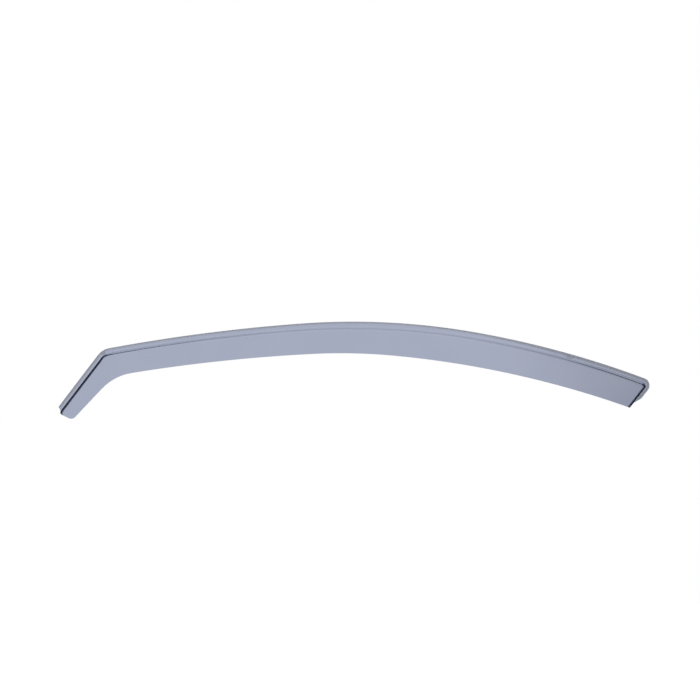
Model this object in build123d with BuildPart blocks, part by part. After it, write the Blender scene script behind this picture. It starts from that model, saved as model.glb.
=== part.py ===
from build123d import *
from math import asin, cos, degrees, radians, sin, sqrt, tan
import os

# Window rain deflector for a front left car door: one heat-formed sheet of smoked acrylic.
# Sizes in millimetres, angles in degrees. +X runs to the rear of the car, +Y into the car and +Z up.
# The origin lies on the lip's outer face, at the crown of its upper edge.

# Sheet, and the two curves of the door that it follows
sheet_thickness = 2.5
bow_radius = 7000
section_radius = 1500

# Blade: stepped out from the lip, and leaning out towards its free edge
step_at_crown = 4
blade_tilt = 2.9

# Upper edge: tangent arcs forward and rearward from the crown
crown_radius = 1143
crown_front_angle = 4.2
crown_rear_angle = 9.9
front_radius = 2890
rear_radius = 1567

# Sharp corners at the ends of the upper edge, along X from the crown, and the slope of both end edges
front_reach = 404.2
rear_reach = 487.6
end_slope = 52.2
front_corner_radius = 30
rear_corner_radius = 12.3

# Flat width of the lip on each side
top_lip = 10.3
arm_lip = 7.3
rear_lip = 6.5

# Draft of the wall behind the lip: at the crown, where the upper edge ends at the rear, and on both ends
crown_draft = 33
rear_top_draft = 18
end_draft = 2

# Bends of the outer skin, and the tightest bend of the inner one
front_wall_radius = 11
rear_wall_radius = 4
foot_radius = 1.6
edge_radius = 3.5
tightest_inside_bend = 1

# Front arm and its tip
arm_length = 126
arm_tip_width = 32.6
arm_tip_slope = -26
arm_taper = 5.9
arm_tip_front_radius = 5
arm_tip_back_radius = 9

# Ends of the lip, cut back from the arm's tip and from the blade's rear corner
arm_lip_length = 117.5
arm_lip_cut_slope = 115
arm_lip_end_radius = 1.5
rear_lip_length = 34
rear_lip_cut_slope = 30
rear_lip_end_radius = 12
foot_trim = 0.5

# Free lower edge: tangent arcs from its own crown, with a wide bend into the arm
lower_crown_x = -18.7
lower_crown_drop = 50.9
lower_crown_radius = 915
lower_crown_front_angle = 2.85
lower_crown_rear_angle = 5.3
lower_front_radius = 2660
lower_rear_radius = 1570
arm_bend_radius = 85

# Working blocks: how far they stand clear of the deflector, and the lengths of the lines that trim it
pan_clearance = 90
block_clearance = 30
pan_corner_radius = 30
arch_end_angle = 34
line_run = 2000


def along(point, slope, length):
    """Point at a length from another one, along a line of a given slope."""
    return (point[0] + length * cos(radians(slope)), point[1] + length * sin(radians(slope)))


def arch_drop(crown, turn, side, reach):
    """Drop of two tangent arcs, the crown's and one side's, at a distance from the crown."""
    crown_run = crown * sin(radians(turn))
    if reach <= crown_run:
        return crown - sqrt(crown**2 - reach**2)
    end = asin(sin(radians(turn)) + (reach - crown_run) / side)
    return crown * (1 - cos(radians(turn))) + side * (cos(radians(turn)) - cos(end))


def fall_back(radius, reach):
    """How far one of the door's two curves falls back at a distance from the crown."""
    return radius - sqrt(radius**2 - reach**2)


def inside_bend(radius, skin):
    """Radius of an outward bend on a skin drawn in from the outer one."""
    return max(radius - skin, tightest_inside_bend)


# Corners of the outline that are later rounded
front_corner = (-front_reach, -arch_drop(crown_radius, crown_front_angle, front_radius, front_reach))
rear_corner = (rear_reach, -arch_drop(crown_radius, crown_rear_angle, rear_radius, rear_reach))
arm_tip_corner = along(front_corner, end_slope, -arm_length)
arm_tip_inner = along(arm_tip_corner, arm_tip_slope, arm_tip_width)
arm_lip_end = along(front_corner, end_slope, -arm_lip_length)
rear_lip_end = along(rear_corner, end_slope, -rear_lip_length)

# Extent of the working blocks, which stand clear of the deflector on every side
pan_bottom = min(arm_tip_corner[1], arm_tip_inner[1]) - pan_clearance
pan_front = front_corner[0] - (front_corner[1] - pan_bottom) / tan(radians(end_slope))
block_bottom = pan_bottom - block_clearance
block_half_length = max(-pan_front, rear_reach) + block_clearance
block_half_angle = degrees(asin(block_half_length / bow_radius))
block_front = -step_at_crown - block_clearance
block_fall_back = fall_back(bow_radius, block_half_length) + fall_back(section_radius, block_bottom)
block_back = block_fall_back + block_clearance
core_back = block_back + block_clearance
block_top = core_back * tan(radians(crown_draft)) + block_clearance


def area_under_arch(top, crown_arc, front_arc, front_angle, rear_arc, rear_angle):
    """Adds the area under an arch of tangent arcs to the current sketch."""
    with BuildLine() as arch:
        crown_front = JernArc(top, (-1, 0), crown_arc, front_angle)
        front_side = JernArc(crown_front @ 1, crown_front % 1, front_arc, arch_end_angle - front_angle)
        crown_rear = JernArc(top, (1, 0), crown_arc, -rear_angle)
        rear_side = JernArc(crown_rear @ 1, crown_rear % 1, rear_arc, rear_angle - arch_end_angle)
        front_end = front_side @ 1
        rear_end = rear_side @ 1
        floor = min(front_end.Y, rear_end.Y) - block_clearance
        Polyline(front_end, (front_end.X, floor), (rear_end.X, floor), rear_end)
    make_face(arch.edges())


def cut_left_of(point, slope):
    """Takes off the current sketch all that lies left of a line, looking along its slope."""
    start = along(point, slope, -line_run)
    end = along(point, slope, line_run)
    with BuildLine() as side:
        Polyline(start, end, along(end, slope + 90, line_run), along(start, slope + 90, line_run), close=True)
    make_face(side.edges(), mode=Mode.SUBTRACT)


def area_inside(top_inset, arm_inset, rear_inset, tightening=0):
    """Adds the area inside the upper edge and both end edges, moved in, with the arcs' curvature raised."""
    arcs = [1 / (1 / radius + tightening) - top_inset for radius in (crown_radius, front_radius, rear_radius)]
    area_under_arch((0, -top_inset), arcs[0], arcs[1], crown_front_angle, arcs[2], crown_rear_angle)
    cut_left_of(along(front_corner, end_slope - 90, arm_inset), end_slope)
    cut_left_of(along(rear_corner, end_slope + 90, rear_inset), end_slope + 180)


def round_corner(sketch, corner, radius):
    """Rounds the vertex of a sketch that lies nearest to a point."""
    fillet(sketch.vertices().sort_by_distance(corner)[0], radius)


def pan_outline(depth, skin):
    """Outline at one depth along Y of the pan that holds the blade out from the lip."""
    top_inset = top_lip + skin / cos(radians(crown_draft)) - depth * tan(radians(crown_draft))
    end_skin = skin / cos(radians(end_draft))
    arm_inset = arm_lip + end_skin + (fall_back(bow_radius, front_reach) - depth) * tan(radians(end_draft))
    rear_inset = rear_lip + end_skin + (fall_back(bow_radius, rear_reach) - depth) * tan(radians(end_draft))
    # The wall falls back with the door's bow and leans less towards the rear, so its arcs tighten with depth.
    lean_change = 2 * (tan(radians(crown_draft)) - tan(radians(rear_top_draft))) / rear_reach**2
    tightening = tan(radians(rear_top_draft)) / bow_radius + lean_change * depth
    with BuildSketch(Plane.XZ.offset(-depth)) as pan:
        area_inside(top_inset, arm_inset, rear_inset, tightening)
        cut_left_of((0, pan_bottom), 180)
        fillet(pan.vertices().group_by(Axis.Y)[0], pan_corner_radius)
        round_corner(pan, front_corner, inside_bend(front_wall_radius, skin))
        round_corner(pan, rear_corner, inside_bend(rear_wall_radius, skin))
    return pan.sketch


def door_slab(step, tilt, skin, back):
    """Solid behind one bowed surface: a section arc turned about the door's upright bow axis."""
    turn = radians(block_half_angle)
    inward = (sin(turn), cos(turn), 0)
    along_bow = (cos(turn), -sin(turn), 0)
    section_plane = Plane((0, bow_radius, 0), x_dir=inward, z_dir=along_bow)
    centre_y = section_radius * cos(radians(tilt)) - step
    centre_z = -section_radius * sin(radians(tilt))
    with BuildPart() as slab:
        with BuildSketch(section_plane):
            with Locations((block_front - bow_radius, block_bottom)):
                Rectangle(back - block_front, block_top - block_bottom, align=Align.MIN)
            with Locations((centre_y - bow_radius, centre_z)):
                Circle(section_radius - skin, mode=Mode.INTERSECT)
        revolve(axis=Axis((0, bow_radius, 0), (0, 0, 1)), revolution_arc=2 * block_half_angle)
    return slab.part


def stepped_block(skin, back):
    """Solid behind the stepped surface of lip, wall and blade, drawn in from the outer skin."""
    with BuildPart() as block:
        loft([pan_outline(block_front, skin), pan_outline(back, skin)], ruled=True)
        add(door_slab(step_at_crown, blade_tilt, skin, back), mode=Mode.INTERSECT)
        fillet(block.faces().sort_by(Axis.Y)[0].edges(), inside_bend(edge_radius, skin))
        add(door_slab(0, 0, skin, back))
        fillet(block.edges(Select.NEW), foot_radius + skin)
    return block.part


# Open area under the free lower edge
with BuildSketch(Plane.XZ) as opening:
    area_under_arch(
        (lower_crown_x, -lower_crown_drop),
        lower_crown_radius,
        lower_front_radius,
        lower_crown_front_angle,
        lower_rear_radius,
        lower_crown_rear_angle,
    )
    cut_left_of(arm_tip_inner, end_slope - arm_taper)
    round_corner(opening, along(front_corner, end_slope - 90, arm_bend_radius), arm_bend_radius)


def trim_free_edge(sketch):
    """Trims a sketch along the free lower edge and across the arm's tip."""
    add(opening.sketch_local, mode=Mode.SUBTRACT)
    cut_left_of(arm_tip_corner, arm_tip_slope + 180)
    round_corner(sketch, arm_tip_inner, arm_tip_back_radius)


# Blade and wall, seen from outside the car
with BuildSketch(Plane.XZ) as blade_outline:
    area_inside(top_lip - foot_trim, arm_lip - foot_trim, rear_lip - foot_trim)
    trim_free_edge(blade_outline)
    round_corner(blade_outline, arm_tip_corner, arm_tip_front_radius)

# The whole deflector: the lip added round the blade, with its two ends cut back
with BuildSketch(Plane.XZ) as outline:
    area_inside(0, 0, 0)
    cut_left_of(arm_lip_end, arm_lip_cut_slope)
    cut_left_of(rear_lip_end, rear_lip_cut_slope + 180)
    round_corner(outline, front_corner, front_corner_radius)
    round_corner(outline, rear_corner, rear_corner_radius)
    round_corner(outline, arm_lip_end, arm_lip_end_radius)
    round_corner(outline, rear_lip_end, rear_lip_end_radius)
    trim_free_edge(outline)
    add(blade_outline.sketch_local)

outer_block = stepped_block(0, block_back)
core_block = stepped_block(sheet_thickness, core_back)

# The sheet left between the outer block and the core, trimmed to the outline
with BuildPart() as deflector:
    extrude(outline.sketch, amount=core_back, both=True)
    add(outer_block, mode=Mode.INTERSECT)
    add(core_block, mode=Mode.SUBTRACT)

deflector.part.label = "deflector"
os.makedirs("parts", exist_ok=True)
export_step(deflector.part, "parts/deflector.step")
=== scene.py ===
import math
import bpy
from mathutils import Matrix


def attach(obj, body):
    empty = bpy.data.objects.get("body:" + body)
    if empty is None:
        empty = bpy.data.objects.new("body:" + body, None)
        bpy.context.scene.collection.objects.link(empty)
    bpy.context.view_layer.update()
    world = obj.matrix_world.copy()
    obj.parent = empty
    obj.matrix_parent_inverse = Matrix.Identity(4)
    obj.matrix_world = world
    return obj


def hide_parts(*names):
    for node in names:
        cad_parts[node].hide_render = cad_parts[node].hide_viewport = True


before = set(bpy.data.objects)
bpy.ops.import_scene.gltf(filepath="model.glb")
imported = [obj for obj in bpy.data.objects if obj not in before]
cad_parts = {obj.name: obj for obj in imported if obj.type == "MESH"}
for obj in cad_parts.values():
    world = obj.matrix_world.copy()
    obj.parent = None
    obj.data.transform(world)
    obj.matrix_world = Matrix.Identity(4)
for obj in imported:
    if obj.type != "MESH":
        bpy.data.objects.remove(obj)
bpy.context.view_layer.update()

from types import SimpleNamespace
import bpy
import numpy as np
from mathutils import Vector
from mathutils.geometry import delaunay_2d_cdt

# Window rain deflector as one closed sheet, in millimetres and degrees: X to the rear, Y into the car, Z up
MM = 0.001

# Sheet, the door's two curves, and the blade's step and lean, as in the solid model
SHEET = 2.5
BOW = 7000
SECTION = 1500
STEP = 4
TILT = 2.9

# Upper and lower edge of three tangent arcs each, and both ends, as in the solid model
UPPER_ARCH = dict(top=(0, 0), crown=1143, front=2890, front_angle=4.2, rear=1567, rear_angle=9.9)
LOWER_ARCH = dict(top=(-18.7, -50.9), crown=915, front=2660, front_angle=2.85, rear=1570, rear_angle=5.3)
FRONT_REACH = 404.2
REAR_REACH = 487.6
END_SLOPE = 52.2
FRONT_CORNER = 30
REAR_CORNER = 12.3

# Front arm, the corners of its tip and its bend into the lower edge, as in the solid model
ARM_LENGTH = 126
ARM_TIP_WIDTH = 32.6
ARM_TIP_SLOPE = -26
ARM_TAPER = 5.9
ARM_TIP_FRONT = 5
ARM_TIP_BACK = 9
ARM_BEND = 85

# Lip's ends near the arm's tip and near the blade's rear corner, as in the solid model
ARM_LIP_LENGTH = 117.5
ARM_LIP_CUT = 115
ARM_LIP_END = 1.5
REAR_LIP_LENGTH = 34
REAR_LIP_CUT = 30
REAR_LIP_END = 12
FOOT_TRIM = 0.5

# Rough depth of the blade at its rear end, near which its lower corner is looked for
BLADE_DEPTH = 45

# Wall between lip and blade, tuned to the photo: its middle line inside the edge, and that line's bends
TIP_LIP = -3.2
ARM_LIP = 7.7
TOP_LIP = 10.2
REAR_LIP = 6.7
TIP_BEND = 7.5
FRONT_BEND = 11
REAR_BEND = 3

# Wall sections: draft, foot bend, outer and inner shoulder bend, and distance inside the middle line
END_WALL = (2, 1.6, 1.2, 2.0, 0)
FRONT_WALL = (33.5, 2.5, 5.0, 2.5, -1.4)
CROWN_WALL = (40, 5.0, 6.0, 3.5, 0.3)
REAR_TOP_WALL = (33.8, 3.3, 5.3, 2.8, -2.0)

# Change of the wall's section at the upper corners, by how far the distances to both sides differ
FRONT_BLEND = 10
FRONT_BLEND_SHIFT = 2.5
REAR_BLEND = 6
REAR_BLEND_SHIFT = 4

# Change of the wall along the top: from the section at the crown to the rear's, and of its inset
REAR_CHANGE_X = (270, 410)
REAR_INSET_X = (60, 480)

# Largest share of the sloping wall that its two bends take up
BEND_FIT = 0.95

# Rounding of the trimmed edge, the shares of it at which the mesh has loops, and the limit of sharp mitres
EDGE_ROUND = 0.7
RIM_STEPS = (0.0, 0.05, 0.2, 0.45, 0.75, 1.0)
MITRE_LIMIT = 0.2

# Spacing of points along the outline and the wall's top, the wall's ends, and in radians its bends
EDGE_STEP = 4.0
ARM_STEP = 2.0
BEND_STEP = 0.06

# Spacing round the outline's corners up to a radius, and in proportion round wider ones
CORNER_STEP = 0.6
CORNER_RADIUS = 6

# Mesh rows along the wall: steps round each bend, shares of the straight wall, and rows before and after it
BEND_STEPS = 10
STRAIGHT_ROWS = (1 / 3, 2 / 3)
ROWS_BEFORE = (3.5, 1.5, 0.5)
ROWS_AFTER = (0.5, 2, 5)

# Mesh rows inside the lip's edge
LIP_ROWS = (1.2, 2.0, 3.0, 4.5)

# Rows' length along the tip and down the rear end, error of their distance, and gap to the rounded edge
TIP_RUN = 40
REAR_RUN = 60
ROW_FIT = 0.02
ROW_EDGE_GAP = 0.15

# Outline's crossings with the rows: the rows' reach, edges that run along a row, and gaps between points
ROW_REACH = (-8, 14)
LEVEL_EDGE = 1e-6
CROSSING_SHARE = 1e-3
CROSSING_GAP = 0.01

# Points on the open blade: extent, spacing, shift of every other row, and gaps to the edge and to the wall
GRID_X = (-480, 490)
GRID_Z = (-160, 5)
GRID_STEP = (9.0, 7.0)
GRID_SHIFT = 3.0
GRID_EDGE_GAP = 3
GRID_WALL_GAP = 13

# Rounds of Newton's method, step of measured slopes, and settings of the triangulation
NEWTON_ROUNDS = 40
SLOPE_STEP = 0.02
KEEP_INSIDE = 1
MERGE_DISTANCE = 1e-5

# Attribute for the distance from the lip's edge, and inset of that edge's line at the arm's tip
FROM_LIP_EDGE = "from_lip_edge"
LIP_EDGE_TIP = -20

# Matt edge of the lip, darkened with painted shade: distances between which it turns polished, and where
# along X, and by how much near the arm's front corner, it widens; the widening towards the rear is painted
# shade
GROUND_EDGE = (0.8, 4.0)
REAR_SHADE_X = (120, 430)
ARM_WIDENING_X = (-395, -415)
ARM_WIDENING = 0.3

# Spots on the lip: places along X and Z, radius, and how much they widen the matt edge and its painted
# shade
EDGE_SPOTS = (((350, -56), 9, 2.8), ((-400.7, -52.4), 6, 1.8))

# Acrylic: refraction, and colour and density of its smoke tint
ACRYLIC_IOR = 1.49
TINT_COLOUR = (0.006, 0.094, 0.338)
TINT_DENSITY = 383

# Roughness of the ground edge and of the polished sheet, and what haze and scuffs add to it
GROUND = 0.3
POLISHED = 0.01
HAZE = 0.02
SCUFF = 0.06

# Transmission of the ground edge, and the dark colour painted on it as shade along the edge
EDGE_CLEAR = 0.75
EDGE_SHADE_COLOUR = (0.12, 0.11, 0.115, 1)

# Forming waves: scale and detail of their noise, strength and height of their bump, and their two tones
WAVE_SCALE = 14
WAVE_DETAIL = 1
WAVE_BUMP = 0.15
WAVE_HEIGHT = 0.0002
WAVE_TONES = ((1, 1, 1, 1), (0.975, 0.98, 0.99, 1))

# Fine scuffs along the sheet: scale of their noise along X, Y and Z, and its detail
SCUFF_SCALE = (25, 200, 420)
SCUFF_DETAIL = 4

# Values of the noise between which haze, scuffs and the waves' tone set in
HAZE_NOISE = (0.3, 0.7)
SCUFF_NOISE = (0.62, 0.78)
TONE_NOISE = (0.35, 0.65)

# Camera in metres: square to the door and 3 m from the lip's crown; lens and sensor in millimetres
CAMERA_AT = (-0.00443, -3.0, -0.0456)
CAMERA_LENS = 96.06
CAMERA_SENSOR = 36
CAMERA_FAR = 50

# Floor in metres: pale, and clear of the deflector
FLOOR_Z = -0.62
FLOOR_FRONT = -1.0
FLOOR_BACK = 1.2
FLOOR_HALF_WIDTH = 1.6
FLOOR_COLOUR = (0.85, 0.85, 0.85, 1)
FLOOR_ROUGHNESS = 0.9
FLOOR_GLOW = 0.5

# Light by direction: strengths, and where along X, Y and Z each light rises or fades
WHITE = (1, 1, 1, 1)
ROOM_LIGHT = 0.08
WALL_Y = (0.35, 0.65)
WALL_FADE = 0.28
WALL_FADE_X = (0.07, 0.18)
WALL_FADE_Y = (0.85, 0.95)
CEILING = 0.7
CEILING_Z = (0.1, 0.45)
CEILING_X = (0.8, 0.5)

# Soft light in front: strength, both sides, lean and place of its lower edge, and how far forward it rises
SOFT_LIGHT = 0.45
SOFT_LIGHT_RIGHT = (0.42, 0.28)
SOFT_LIGHT_LEFT = (-0.6, -0.4)
SOFT_LIGHT_LEAN = 0.25
SOFT_LIGHT_Z = (-0.21, -0.09)
SOFT_LIGHT_Y = (0.0, -0.5)


def turned(degrees):
    """Unit vector at an angle from X towards Z."""
    return np.array([math.cos(math.radians(degrees)), math.sin(math.radians(degrees))])


def cross(first, second):
    """Cross product of flat vectors, positive where the second lies left of the first."""
    return first[..., 0] * second[..., 1] - first[..., 1] * second[..., 0]


class Line:
    """Straight side of a shape, with its normal pointing inside."""

    def __init__(self, point, normal):
        self.point = np.array(point, float)
        self.normal = np.array(normal, float)

    def inside(self, point):
        """Distance of a point inside the line, and the direction in which it grows."""
        return (point - self.point) @ self.normal, self.normal

    def between(self, start, end, spacing):
        """Points from a start on the line up to its end, which is left out."""
        count = max(1, math.ceil(np.linalg.norm(end - start) / spacing))
        return [start + (end - start) * k / count for k in range(count)]


class Arc:
    """Round side of a shape, which lies inside its circle, or outside it where sign is -1."""

    def __init__(self, centre, radius, sign=1):
        self.centre = np.array(centre, float)
        self.radius = radius
        self.sign = sign

    def inside(self, point):
        """Distance of a point inside the arc, and the direction in which it grows."""
        away = point - self.centre
        reach = np.linalg.norm(away, axis=-1)
        return self.sign * (self.radius - reach), -self.sign * away / reach[..., None]

    def between(self, start, end, spacing):
        """Points from a start on the arc up to its end, which is left out."""
        first = math.atan2(*(start - self.centre)[::-1])
        last = math.atan2(*(end - self.centre)[::-1])
        turn = (last - first + math.pi) % (2 * math.pi) - math.pi
        count = max(1, math.ceil(abs(turn) * self.radius / spacing))
        angles = [math.degrees(first + turn * k / count) for k in range(count)]
        return [self.centre + self.radius * turned(angle) for angle in angles]


class Arch:
    """Three tangent arcs, each moved in by an inset, with the joints between them."""

    def __init__(self, top, crown, front, front_angle, rear, rear_angle, inset=0, sign=1):
        centre = np.array([top[0], top[1] - crown])
        self.front_turn = -math.radians(front_angle)
        self.rear_turn = math.radians(rear_angle)
        to_front = turned(90 + front_angle)
        to_rear = turned(90 - rear_angle)
        self.crown = Arc(centre, crown - inset, sign)
        self.front = Arc(centre + (crown - front) * to_front, front - inset, sign)
        self.rear = Arc(centre + (crown - rear) * to_rear, rear - inset, sign)
        self.front_joint = centre + (crown - inset) * to_front
        self.rear_joint = centre + (crown - inset) * to_rear

    def distance(self, point):
        """Distance inside the arch, taken from the arc that a point lies under."""
        away = point - self.crown.centre
        turn = np.arctan2(away[..., 0], away[..., 1])
        limits = [turn < self.front_turn, turn > self.rear_turn]
        sides = [self.front.inside(point)[0], self.rear.inside(point)[0]]
        return np.select(limits, sides, self.crown.inside(point)[0])


def meet(first, second, inset, near):
    """Point at the same distance inside two sides, by Newton's method."""
    point = np.array(near, float)
    for _ in range(NEWTON_ROUNDS):
        gaps, normals = zip(first.inside(point), second.inside(point))
        point = point - np.linalg.solve(np.array(normals), np.array(gaps) - inset)
    return point


# Both edges, the directions along and away from the straight sides, and the corners before rounding
UPPER = Arch(**UPPER_ARCH)
LOWER = Arch(**LOWER_ARCH, sign=-1)
ALONG = turned(END_SLOPE)
FROM_ARM = turned(END_SLOPE - 90)
FROM_REAR = turned(END_SLOPE + 90)
FROM_TIP = turned(ARM_TIP_SLOPE + 90)
FRONT_POINT = meet(UPPER.front, Line((-FRONT_REACH, 0), (1, 0)), 0, (-FRONT_REACH, 0))
REAR_POINT = meet(UPPER.rear, Line((REAR_REACH, 0), (-1, 0)), 0, (REAR_REACH, 0))
TIP_POINT = FRONT_POINT - ARM_LENGTH * ALONG
TIP_INNER = TIP_POINT + ARM_TIP_WIDTH * turned(ARM_TIP_SLOPE)
ARM_LIP_POINT = FRONT_POINT - ARM_LIP_LENGTH * ALONG
REAR_LIP_POINT = REAR_POINT - REAR_LIP_LENGTH * ALONG


class Contour:
    """Line round the tip, up the arm, along the top and down the rear end, with a bend at each corner."""

    def __init__(self, tip_inset, arm_inset, top_inset, rear_inset, tip_bend, front_bend, rear_bend):
        self.tip = Line(TIP_POINT + tip_inset * FROM_TIP, FROM_TIP)
        self.arm = Line(FRONT_POINT + arm_inset * FROM_ARM, FROM_ARM)
        self.top = Arch(**UPPER_ARCH, inset=top_inset)
        self.rear = Line(REAR_POINT + rear_inset * FROM_REAR, FROM_REAR)
        tip_centre = meet(self.tip, self.arm, tip_bend, TIP_POINT)
        front_centre = meet(self.arm, self.top.front, front_bend, FRONT_POINT)
        rear_centre = meet(self.rear, self.top.rear, rear_bend, REAR_POINT)
        self.tip_bend = Arc(tip_centre, tip_bend)
        self.front_bend = Arc(front_centre, front_bend)
        self.rear_bend = Arc(rear_centre, rear_bend)
        self.from_top_front = self.top.front.inside(front_centre)[1]
        self.from_top_rear = self.top.rear.inside(rear_centre)[1]

    def side_distances(self, point):
        """Distances inside the arm's, the top's and the rear end's side."""
        return self.arm.inside(point)[0], self.top.distance(point), self.rear.inside(point)[0]

    def distance(self, point):
        """Distance inside the contour, negative outside it."""
        distance = np.minimum.reduce([*self.side_distances(point), self.tip.inside(point)[0]])
        corners = (
            (self.tip_bend, FROM_ARM, FROM_TIP),
            (self.front_bend, self.from_top_front, FROM_ARM),
            (self.rear_bend, FROM_REAR, self.from_top_rear),
        )
        for bend, first, last in corners:
            away = point - bend.centre
            beside = (cross(-first, away) >= 0) & (cross(away, -last) >= 0)
            distance = np.where(beside, bend.inside(point)[0], distance)
        return distance

    def points(self):
        """Points along the contour, past both ends of the sheet, with their normals."""
        tip_end = self.tip_bend.centre - self.tip_bend.radius * FROM_TIP
        arm_start = self.tip_bend.centre - self.tip_bend.radius * FROM_ARM
        arm_end = self.front_bend.centre - self.front_bend.radius * FROM_ARM
        top_start = self.front_bend.centre - self.front_bend.radius * self.from_top_front
        top_end = self.rear_bend.centre - self.rear_bend.radius * self.from_top_rear
        rear_start = self.rear_bend.centre - self.rear_bend.radius * FROM_REAR
        runs = [
            (self.tip, tip_end + TIP_RUN * turned(ARM_TIP_SLOPE), tip_end, ARM_STEP),
            (self.tip_bend, tip_end, arm_start, BEND_STEP * self.tip_bend.radius),
            (self.arm, arm_start, arm_end, ARM_STEP),
            (self.front_bend, arm_end, top_start, BEND_STEP * self.front_bend.radius),
            (self.top.front, top_start, self.top.front_joint, EDGE_STEP),
            (self.top.crown, self.top.front_joint, self.top.rear_joint, EDGE_STEP),
            (self.top.rear, self.top.rear_joint, top_end, EDGE_STEP),
            (self.rear_bend, top_end, rear_start, BEND_STEP * self.rear_bend.radius),
            (self.rear, rear_start, rear_start - REAR_RUN * ALONG, ARM_STEP),
        ]
        points = []
        normals = []
        for side, start, end, spacing in runs:
            for point in side.between(start, end, spacing):
                points.append(point)
                normals.append(side.inside(point)[1])
        return np.array(points), np.array(normals)


LIP_EDGE = Contour(LIP_EDGE_TIP, 0, 0, 0, ARM_TIP_FRONT, FRONT_CORNER, REAR_CORNER)
CREASE = Contour(TIP_LIP, ARM_LIP, TOP_LIP, REAR_LIP, TIP_BEND, FRONT_BEND, REAR_BEND)


def trace(sides):
    """Closed loop along sides given as (side, radius of the corner to the next, point near that corner).

    A hollow corner has a negative radius, and a tangent joint has none.
    """
    corners = []
    for number, (side, radius, near) in enumerate(sides):
        if radius is None:
            corners.append((None, near, near))
            continue
        following = sides[(number + 1) % len(sides)][0]
        centre = meet(side, following, radius, near)
        end = centre - radius * side.inside(centre)[1]
        start = centre - radius * following.inside(centre)[1]
        corners.append((Arc(centre, abs(radius)), end, start))
    points = []
    for number, (side, radius, _) in enumerate(sides):
        corner, end, start = corners[number]
        points += side.between(corners[number - 1][2], end, EDGE_STEP)
        if radius:
            points += corner.between(end, start, CORNER_STEP * max(1, abs(radius) / CORNER_RADIUS))
    return np.array(points)


def outline():
    """The deflector's edge, seen from outside the car, counter-clockwise from the front of the lip."""
    arm = Line(FRONT_POINT, FROM_ARM)
    arm_cut = Line(ARM_LIP_POINT, turned(ARM_LIP_CUT - 90))
    arm_foot = Line(CREASE.arm.point - FOOT_TRIM * FROM_ARM, FROM_ARM)
    tip = Line(TIP_POINT, FROM_TIP)
    tip_centre = meet(arm_foot, tip, ARM_TIP_FRONT, TIP_POINT)
    inner = Line(TIP_INNER, turned(END_SLOPE - ARM_TAPER + 90))
    rear_foot = Line(CREASE.rear.point - FOOT_TRIM * FROM_REAR, FROM_REAR)
    rear_cut = Line(REAR_LIP_POINT, turned(REAR_LIP_CUT + 90))
    rear = Line(REAR_POINT, FROM_REAR)
    return trace([
        (arm, ARM_LIP_END, ARM_LIP_POINT),
        (arm_cut, 0, tip_centre - ARM_TIP_FRONT * FROM_ARM),
        (Arc(tip_centre, ARM_TIP_FRONT), None, tip_centre - ARM_TIP_FRONT * FROM_TIP),
        (tip, ARM_TIP_BACK, TIP_INNER),
        (inner, -ARM_BEND, FRONT_POINT + ARM_BEND * FROM_ARM),
        (LOWER.front, None, LOWER.front_joint),
        (LOWER.crown, None, LOWER.rear_joint),
        (LOWER.rear, 0, REAR_POINT - BLADE_DEPTH * ALONG + REAR_LIP * FROM_REAR),
        (rear_foot, 0, REAR_LIP_POINT + REAR_LIP * FROM_REAR),
        (rear_cut, REAR_LIP_END, REAR_LIP_POINT),
        (rear, REAR_CORNER, REAR_POINT),
        (UPPER.rear, None, UPPER.rear_joint),
        (UPPER.crown, None, UPPER.front_joint),
        (UPPER.front, FRONT_CORNER, FRONT_POINT),
    ])


def ease(share):
    """Smooth step from 0 to 1."""
    share = np.clip(share, 0, 1)
    return share * share * (3 - 2 * share)


def rise(along, limits):
    """Smooth step from 0 to 1 between two places along X."""
    return ease((along - limits[0]) / (limits[1] - limits[0]))


def wall(point):
    """Draft in radians, foot bend, both shoulder bends and inset of the wall near a point."""
    arm, top, rear = CREASE.side_distances(point)
    on_arm = ease(0.5 + (top - arm + FRONT_BLEND_SHIFT) / (2 * FRONT_BLEND))
    at_rear = ease(0.5 + (top - rear + REAR_BLEND_SHIFT) / (2 * REAR_BLEND))
    on_top = 1 - on_arm - at_rear
    along = point[..., 0]
    to_front = np.clip(-along / FRONT_REACH, 0, 1)
    to_rear = rise(along, REAR_CHANGE_X)
    moved = rise(along, REAR_INSET_X)
    walls = zip(END_WALL, FRONT_WALL, CROWN_WALL, REAR_TOP_WALL)
    mixed = []
    for sizes, changed in zip(walls, (to_rear, to_rear, to_rear, to_rear, moved)):
        of_end, front, crown, rear_top = sizes
        of_top = crown + (front - crown) * to_front + (rear_top - crown) * changed
        mixed.append(on_arm * of_end + on_top * of_top + at_rear * of_end)
    return np.radians(mixed[0]), *mixed[1:]


def door(point, step, tilt, skin):
    """Depth along Y of a surface that follows the door, drawn in by a skin."""
    lean = math.radians(tilt)
    centre_y = SECTION * math.cos(lean) - step
    centre_z = -SECTION * math.sin(lean)
    profile = centre_y - np.sqrt((SECTION - skin)**2 - (point[..., 1] - centre_z)**2)
    return BOW - np.sqrt((BOW - profile)**2 - point[..., 0]**2)


def section(point, skin):
    """Sizes of the step at a point, on the outer face or on the face a skin behind it.

    The runs are the lengths along the lip and the blade that the bends at foot and shoulder take up.
    """
    draft, foot, shoulder, inner_shoulder, inset = wall(point)
    lip = door(point, 0, 0, skin)
    height = lip - door(point, STEP, TILT, skin)
    if skin:
        foot = foot + skin
        shoulder = inner_shoulder
    lean = math.pi / 2 - draft
    half = np.tan(lean / 2)
    fit = np.minimum(1, BEND_FIT * height / np.cos(draft) / ((foot + shoulder) * half))
    foot = foot * fit
    shoulder = shoulder * fit
    return SimpleNamespace(
        lip=lip,
        height=height,
        lean=lean,
        foot=foot,
        shoulder=shoulder,
        foot_run=half * foot,
        shoulder_run=half * shoulder,
        width=height * np.tan(draft),
        start=inset + skin / np.cos(draft) - skin * np.tan(draft) - height * np.tan(draft) / 2,
    )


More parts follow.
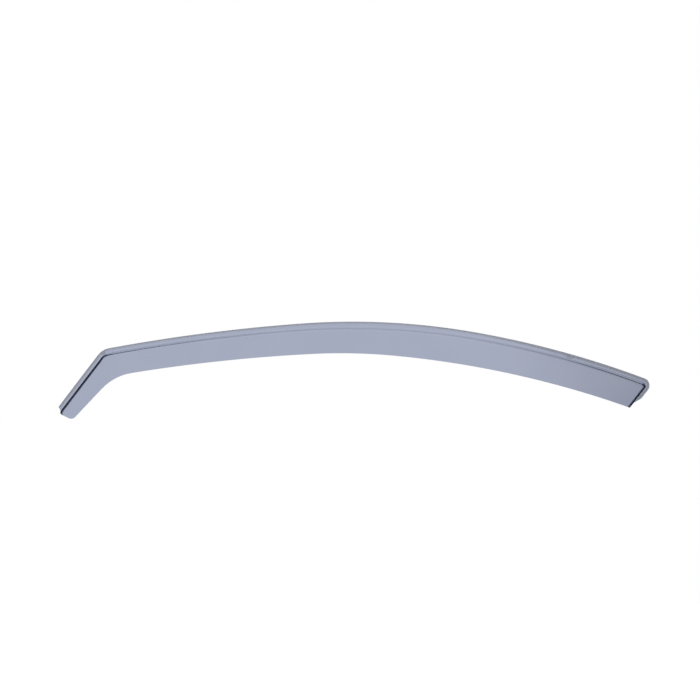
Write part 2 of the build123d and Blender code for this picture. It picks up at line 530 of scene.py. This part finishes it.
def depth(point, skin):
    """Depth along Y of the outer face, or of the face a skin behind it."""
    step = section(point, skin)
    along = CREASE.distance(point) - step.start
    turn = np.cos(step.lean)
    from_foot = np.clip(along + step.foot_run, 0, step.foot)
    low = step.foot - np.sqrt(np.maximum(step.foot**2 - from_foot**2, 0))
    middle = step.foot * (1 - turn) + (along - step.foot_run * turn) * np.tan(step.lean)
    from_blade = np.clip(step.width + step.shoulder_run - along, 0, step.shoulder)
    high = step.height - step.shoulder + np.sqrt(np.maximum(step.shoulder**2 - from_blade**2, 0))
    limits = [
        along < -step.foot_run,
        along < step.foot_run * turn,
        along < step.width - step.shoulder_run * turn,
        along < step.width + step.shoulder_run,
    ]
    return step.lip - np.select(limits, [0, low, middle, high], step.height)


def row_distances(point, skin):
    """Distances inside the wall's middle line of the mesh rows that follow the wall."""
    step = section(point, skin)
    turn = np.cos(step.lean)
    low = step.foot_run * turn
    high = step.width - step.shoulder_run * turn
    end = step.width + step.shoulder_run
    shares = [k / BEND_STEPS for k in range(BEND_STEPS + 1)]
    rows = [step.foot * np.sin(step.lean * share) - step.foot_run for share in shares]
    rows += [low + (high - low) * share for share in STRAIGHT_ROWS]
    rows += [end - step.shoulder * np.sin(step.lean * (1 - share)) for share in shares]
    before = [rows[0] - run for run in ROWS_BEFORE]
    after = [rows[-1] + run for run in ROWS_AFTER]
    return np.array(before + rows + after) + step.start


def slope(point, skin, axis):
    """How fast a skin's depth changes along X or Z."""
    step = np.eye(2)[axis] * SLOPE_STEP
    return (depth(point + step, skin) - depth(point - step, skin)) / (2 * SLOPE_STEP)


def inward(loop):
    """Directions into a loop at its points, long enough to keep the distance to both of its edges."""
    edges = np.roll(loop, -1, 0) - loop
    edges /= np.linalg.norm(edges, axis=1)[:, None]
    after = np.stack([-edges[:, 1], edges[:, 0]], 1)
    before = np.roll(after, 1, 0)
    middle = after + before
    return middle / np.maximum((middle * after).sum(1), MITRE_LIMIT)[:, None]


def inside_loop(points, loop):
    """Which points lie inside a loop."""
    crossings = np.zeros(len(points), int)
    for (x0, z0), (x1, z1) in zip(loop, np.roll(loop, -1, 0)):
        if z0 != z1:
            level = (points[:, 1] >= min(z0, z1)) & (points[:, 1] < max(z0, z1))
            crossings += level & (points[:, 0] < x0 + (points[:, 1] - z0) * (x1 - x0) / (z1 - z0))
    return crossings % 2 == 1


def with_row_crossings(loop):
    """The outline with a point added wherever it crosses a row of the wall."""
    points = []
    for start, end in zip(loop, np.roll(loop, -1, 0)):
        points.append(start)
        first, last = CREASE.distance(np.array([start, end]))
        clear = max(first, last) < ROW_REACH[0] or min(first, last) > ROW_REACH[1]
        if clear or abs(first - last) < LEVEL_EDGE:
            continue
        middle = (start + end) / 2
        rows = np.concatenate([row_distances(middle, 0), row_distances(middle, SHEET)])
        previous = 0
        for share in sorted((rows - first) / (last - first)):
            apart = (share - previous) * abs(last - first) > CROSSING_GAP
            if apart and CROSSING_SHARE < share < 1 - CROSSING_SHARE:
                points.append(start + (end - start) * share)
                previous = share
    return np.array(points)


def mesh_rows(skin, core, used):
    """Rows along the wall and the lip's edge: their points, and edges numbered after the points in use."""
    rows = [(CREASE, row) for row in row_distances(CREASE.points()[0], skin)]
    rows += [(LIP_EDGE, np.full(len(LIP_EDGE.points()[0]), run)) for run in LIP_ROWS]
    kept = []
    edges = []
    for contour, row in rows:
        points, normals = contour.points()
        moved = points + normals * row[:, None]
        good = (np.abs(contour.distance(moved) - row) < ROW_FIT) & inside_loop(moved, core)
        places = np.where(good, used + np.cumsum(good) - 1, -1)
        edges += [(int(a), int(b)) for a, b in zip(places, places[1:]) if a >= 0 and b >= 0]
        kept.append(moved[good])
        used += int(good.sum())
    return kept, edges


def blade_points(edge):
    """Staggered points on the open blade, inside an edge and clear of the wall."""
    across = np.arange(*GRID_X, GRID_STEP[0])
    up = np.arange(*GRID_Z, GRID_STEP[1])
    grid = np.array([(x + GRID_SHIFT * (k % 2), z) for x in across for k, z in enumerate(up)])
    return grid[inside_loop(grid, edge) & (CREASE.distance(grid) > GRID_WALL_GAP)]


def skin_mesh(skin, loops, outward, core, grid):
    """Triangles of one skin: its points in space, their normals, its faces, and its outermost loop."""
    count = len(loops[0])
    loop_total = count * len(loops)
    edges = []
    for first in range(0, loop_total, count):
        edges += [(first + k, first + (k + 1) % count) for k in range(count)]
    rows, row_edges = mesh_rows(skin, core, loop_total)
    edges += row_edges
    flat = [Vector(point) for point in np.concatenate([*loops, *rows, grid])]
    made, _, faces, origins, _, _ = delaunay_2d_cdt(flat, edges, [], KEEP_INSIDE, MERGE_DISTANCE)
    made = np.array([tuple(point) for point in made])
    facing = 1 if skin == 0 else -1
    depths = depth(made, skin)
    normals = np.stack([slope(made, skin, 0), -np.ones(len(made)), slope(made, skin, 1)], 1) * facing
    normals /= np.linalg.norm(normals, axis=1)[:, None]
    rim = [0] * count
    for place, origin in enumerate(origins):
        on_loops = [k for k in origin if k < loop_total]
        if not on_loops:
            continue
        ring, k = divmod(on_loops[0], count)
        out = 1 - RIM_STEPS[ring]
        level = math.sqrt(1 - out**2)
        depths[place] += facing * EDGE_ROUND * (1 - level)
        normals[place] = level * normals[place] + out * np.array([outward[k][0], 0, outward[k][1]])
        if ring == 0:
            rim[k] = place
    places = np.stack([made[:, 0], depths, made[:, 1]], 1) * MM
    return places, normals, faces, rim


def matt_and_shade_distance(flat):
    """Distance from the lip's edge, shortened towards the rear, near the arm's front corner and at two
    spots, which widens the matt edge and its painted shade.
    """
    # Towards the rear the widening paints shade on the lip
    widening = 1 + rise(flat[:, 0], REAR_SHADE_X) + ARM_WIDENING * rise(flat[:, 0], ARM_WIDENING_X)
    for place, radius, more in EDGE_SPOTS:
        widening += more * (1 - ease(np.linalg.norm(flat - place, axis=1) / radius))
    return LIP_EDGE.distance(flat) / widening


def sheet(name):
    """The deflector as one closed sheet: outer skin, inner skin, and the trimmed edge between them."""
    loop = with_row_crossings(outline())
    normals = inward(loop)
    outward = -normals / np.linalg.norm(normals, axis=1)[:, None]
    loops = [loop + normals * EDGE_ROUND * share for share in RIM_STEPS]
    core = loop + normals * (EDGE_ROUND + ROW_EDGE_GAP)
    grid = blade_points(loop + normals * GRID_EDGE_GAP)
    outer, outer_normals, outer_faces, outer_rim = skin_mesh(0, loops, outward, core, grid)
    inner, inner_normals, inner_faces, inner_rim = skin_mesh(SHEET, loops, outward, core, grid)
    inner_rim = [k + len(outer) for k in inner_rim]
    faces = [tuple(face) for face in outer_faces]
    faces += [tuple(len(outer) + k for k in reversed(face)) for face in inner_faces]
    for k, (a, b) in enumerate(zip(outer_rim, inner_rim)):
        faces.append((a, outer_rim[k - 1], inner_rim[k - 1], b))
    places = np.concatenate([outer, inner])
    mesh = bpy.data.meshes.new(name)
    mesh.from_pydata(places.tolist(), [], faces)
    mesh.polygons.foreach_set("use_smooth", [True] * len(mesh.polygons))
    mesh.normals_split_custom_set_from_vertices(np.concatenate([outer_normals, inner_normals]).tolist())
    from_edge = mesh.attributes.new(FROM_LIP_EDGE, "FLOAT", "POINT")
    from_edge.data.foreach_set("value", matt_and_shade_distance(places[:, [0, 2]] / MM))
    mesh.update()
    piece = bpy.data.objects.new(name, mesh)
    bpy.context.scene.collection.objects.link(piece)
    return piece


class Graph:
    """Node tree, with short ways to add the nodes used here."""

    def __init__(self, tree):
        self.tree = tree

    def feed(self, socket, value):
        """Links an input to an output of another node, or sets its value."""
        if isinstance(value, bpy.types.NodeSocket):
            self.tree.links.new(value, socket)
        else:
            socket.default_value = value

    def add(self, kind, inputs=None, **settings):
        """Adds a node with its settings and inputs, and gives its outputs."""
        made = self.tree.nodes.new(kind)
        for name, value in settings.items():
            setattr(made, name, value)
        for name, value in (inputs or {}).items():
            self.feed(made.inputs[name], value)
        return made.outputs

    def calculate(self, operation, *values):
        """Result of an operation on up to three values."""
        made = self.tree.nodes.new("ShaderNodeMath")
        made.operation = operation
        for socket, value in zip(made.inputs, values):
            self.feed(socket, value)
        return made.outputs["Value"]

    def ramp(self, value, limits, levels=(0, 1)):
        """Smooth change from one level to another while a value passes between two limits."""
        names = ("From Min", "From Max", "To Min", "To Max")
        inputs = dict(zip(names, (*limits, *levels)), Value=value)
        return self.add("ShaderNodeMapRange", inputs, interpolation_type="SMOOTHSTEP")["Result"]

    def noise(self, place, scale, detail):
        """Noise at a place."""
        return self.add("ShaderNodeTexNoise", {"Vector": place, "Scale": scale, "Detail": detail})["Fac"]

    def mix(self, share, first, second):
        """Mix of two colours."""
        inputs = {"Factor": share, "A": first, "B": second}
        return self.add("ShaderNodeMix", inputs, data_type="RGBA")["Result"]


def smoked_acrylic():
    """Clear acrylic, tinted by depth, with faint forming waves, fine scuffs and a matt lip edge darkened
    with painted shade.
    """
    material = bpy.data.materials.new("smoked acrylic")
    material.use_nodes = True
    material.node_tree.nodes.clear()
    graph = Graph(material.node_tree)
    place = graph.add("ShaderNodeTexCoord")["Object"]
    along_sheet = graph.add("ShaderNodeMapping", {"Vector": place, "Scale": SCUFF_SCALE})["Vector"]
    waves = graph.noise(place, WAVE_SCALE, WAVE_DETAIL)
    scuffs = graph.noise(along_sheet, 1, SCUFF_DETAIL)
    from_edge = graph.add("ShaderNodeAttribute", attribute_name=FROM_LIP_EDGE)["Fac"]
    ground = graph.ramp(from_edge, GROUND_EDGE, (GROUND, POLISHED))
    hazy = graph.calculate("ADD", ground, graph.ramp(waves, HAZE_NOISE, (0, HAZE)))
    roughness = graph.calculate("ADD", hazy, graph.ramp(scuffs, SCUFF_NOISE, (0, SCUFF)))
    # Less transmission and a dark base colour at the lip's edge paint shade along it; the wave tone
    # elsewhere is the sheet's own
    clear = graph.ramp(from_edge, GROUND_EDGE, (EDGE_CLEAR, 1))
    tone = graph.mix(graph.ramp(waves, TONE_NOISE), *WAVE_TONES)
    colour = graph.mix(clear, EDGE_SHADE_COLOUR, tone)
    bump = graph.add("ShaderNodeBump", {"Strength": WAVE_BUMP, "Distance": WAVE_HEIGHT, "Height": waves})
    shader = graph.add("ShaderNodeBsdfPrincipled", {
        "Base Color": colour,
        "Roughness": roughness,
        "IOR": ACRYLIC_IOR,
        "Transmission Weight": clear,
        "Normal": bump["Normal"],
    })
    tint = graph.add("ShaderNodeVolumeAbsorption", {"Color": (*TINT_COLOUR, 1), "Density": TINT_DENSITY})
    graph.add("ShaderNodeOutputMaterial", {"Surface": shader["BSDF"], "Volume": tint["Volume"]})
    return material


def pale_paint():
    """White floor paint, with enough glow to stay white in the picture."""
    material = bpy.data.materials.new("pale floor paint")
    material.use_nodes = True
    shader = material.node_tree.nodes["Principled BSDF"]
    shader.inputs["Base Color"].default_value = FLOOR_COLOUR
    shader.inputs["Roughness"].default_value = FLOOR_ROUGHNESS
    shader.inputs["Specular IOR Level"].default_value = 0
    shader.inputs["Emission Color"].default_value = WHITE
    shader.inputs["Emission Strength"].default_value = FLOOR_GLOW
    return material


def floor():
    """Plain pale floor, clear of the deflector."""
    mesh = bpy.data.meshes.new("floor")
    corners = [(-1, FLOOR_FRONT), (1, FLOOR_FRONT), (1, FLOOR_BACK), (-1, FLOOR_BACK)]
    mesh.from_pydata([(side * FLOOR_HALF_WIDTH, y, FLOOR_Z) for side, y in corners], [], [(0, 1, 2, 3)])
    mesh.materials.append(pale_paint())
    piece = bpy.data.objects.new("floor", mesh)
    bpy.context.scene.collection.objects.link(piece)


def light():
    """White studio: a white wall behind, a ceiling light, a soft light in front and a dim room round them.

    Camera rays see plain white, and rays that pass through the sheet see white that fades to the right.
    """
    world = bpy.data.worlds.new("studio")
    world.use_nodes = True
    graph = Graph(world.node_tree)
    direction = graph.add("ShaderNodeTexCoord")["Generated"]
    parts = graph.add("ShaderNodeSeparateXYZ", {"Vector": direction})
    across = parts["X"]
    behind = parts["Y"]
    up = parts["Z"]

    aside = graph.calculate("ABSOLUTE", across)
    ceiling = graph.calculate("MULTIPLY", graph.ramp(up, CEILING_Z), graph.ramp(aside, CEILING_X))
    ceiling = graph.calculate("MULTIPLY", ceiling, CEILING)
    bright = graph.calculate("MAXIMUM", graph.ramp(behind, WALL_Y), ceiling)
    leaning = graph.calculate("MULTIPLY_ADD", across, -SOFT_LIGHT_LEAN, up)
    soft = graph.ramp(across, SOFT_LIGHT_RIGHT)
    soft = graph.calculate("MULTIPLY", soft, graph.ramp(leaning, SOFT_LIGHT_Z))
    soft = graph.calculate("MULTIPLY", soft, graph.ramp(across, SOFT_LIGHT_LEFT))
    soft = graph.calculate("MULTIPLY", soft, graph.ramp(behind, SOFT_LIGHT_Y))
    room = graph.calculate("MULTIPLY_ADD", bright, 1 - ROOM_LIGHT, ROOM_LIGHT)
    room = graph.calculate("MULTIPLY_ADD", soft, SOFT_LIGHT, room)

    fade = graph.calculate("MULTIPLY", graph.ramp(across, WALL_FADE_X), graph.ramp(behind, WALL_FADE_Y))
    faded = graph.calculate("MULTIPLY_ADD", fade, -WALL_FADE, 1)
    path = graph.add("ShaderNodeLightPath")
    direct = path["Is Camera Ray"]
    through = path["Is Transmission Ray"]
    seen = graph.calculate("ADD", direct, through)
    unseen = graph.calculate("SUBTRACT", 1, seen)
    white = graph.calculate("MULTIPLY_ADD", through, faded, direct)
    background = world.node_tree.nodes["Background"]
    graph.feed(background.inputs["Color"], WHITE)
    graph.feed(background.inputs["Strength"], graph.calculate("MULTIPLY_ADD", unseen, room, white))
    bpy.context.scene.world = world


def camera():
    """The photograph's view."""
    view = bpy.data.objects.new("camera", bpy.data.cameras.new("camera"))
    view.location = CAMERA_AT
    view.rotation_euler = (math.pi / 2, 0, 0)
    view.data.lens = CAMERA_LENS
    view.data.sensor_width = CAMERA_SENSOR
    view.data.clip_end = CAMERA_FAR
    bpy.context.scene.collection.objects.link(view)
    bpy.context.scene.camera = view


deflector = sheet("deflector_sheet")
deflector.data.materials.append(smoked_acrylic())
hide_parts("deflector")
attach(deflector, "root")
floor()
light()
camera()
bpy.context.scene.view_settings.view_transform = "Standard"
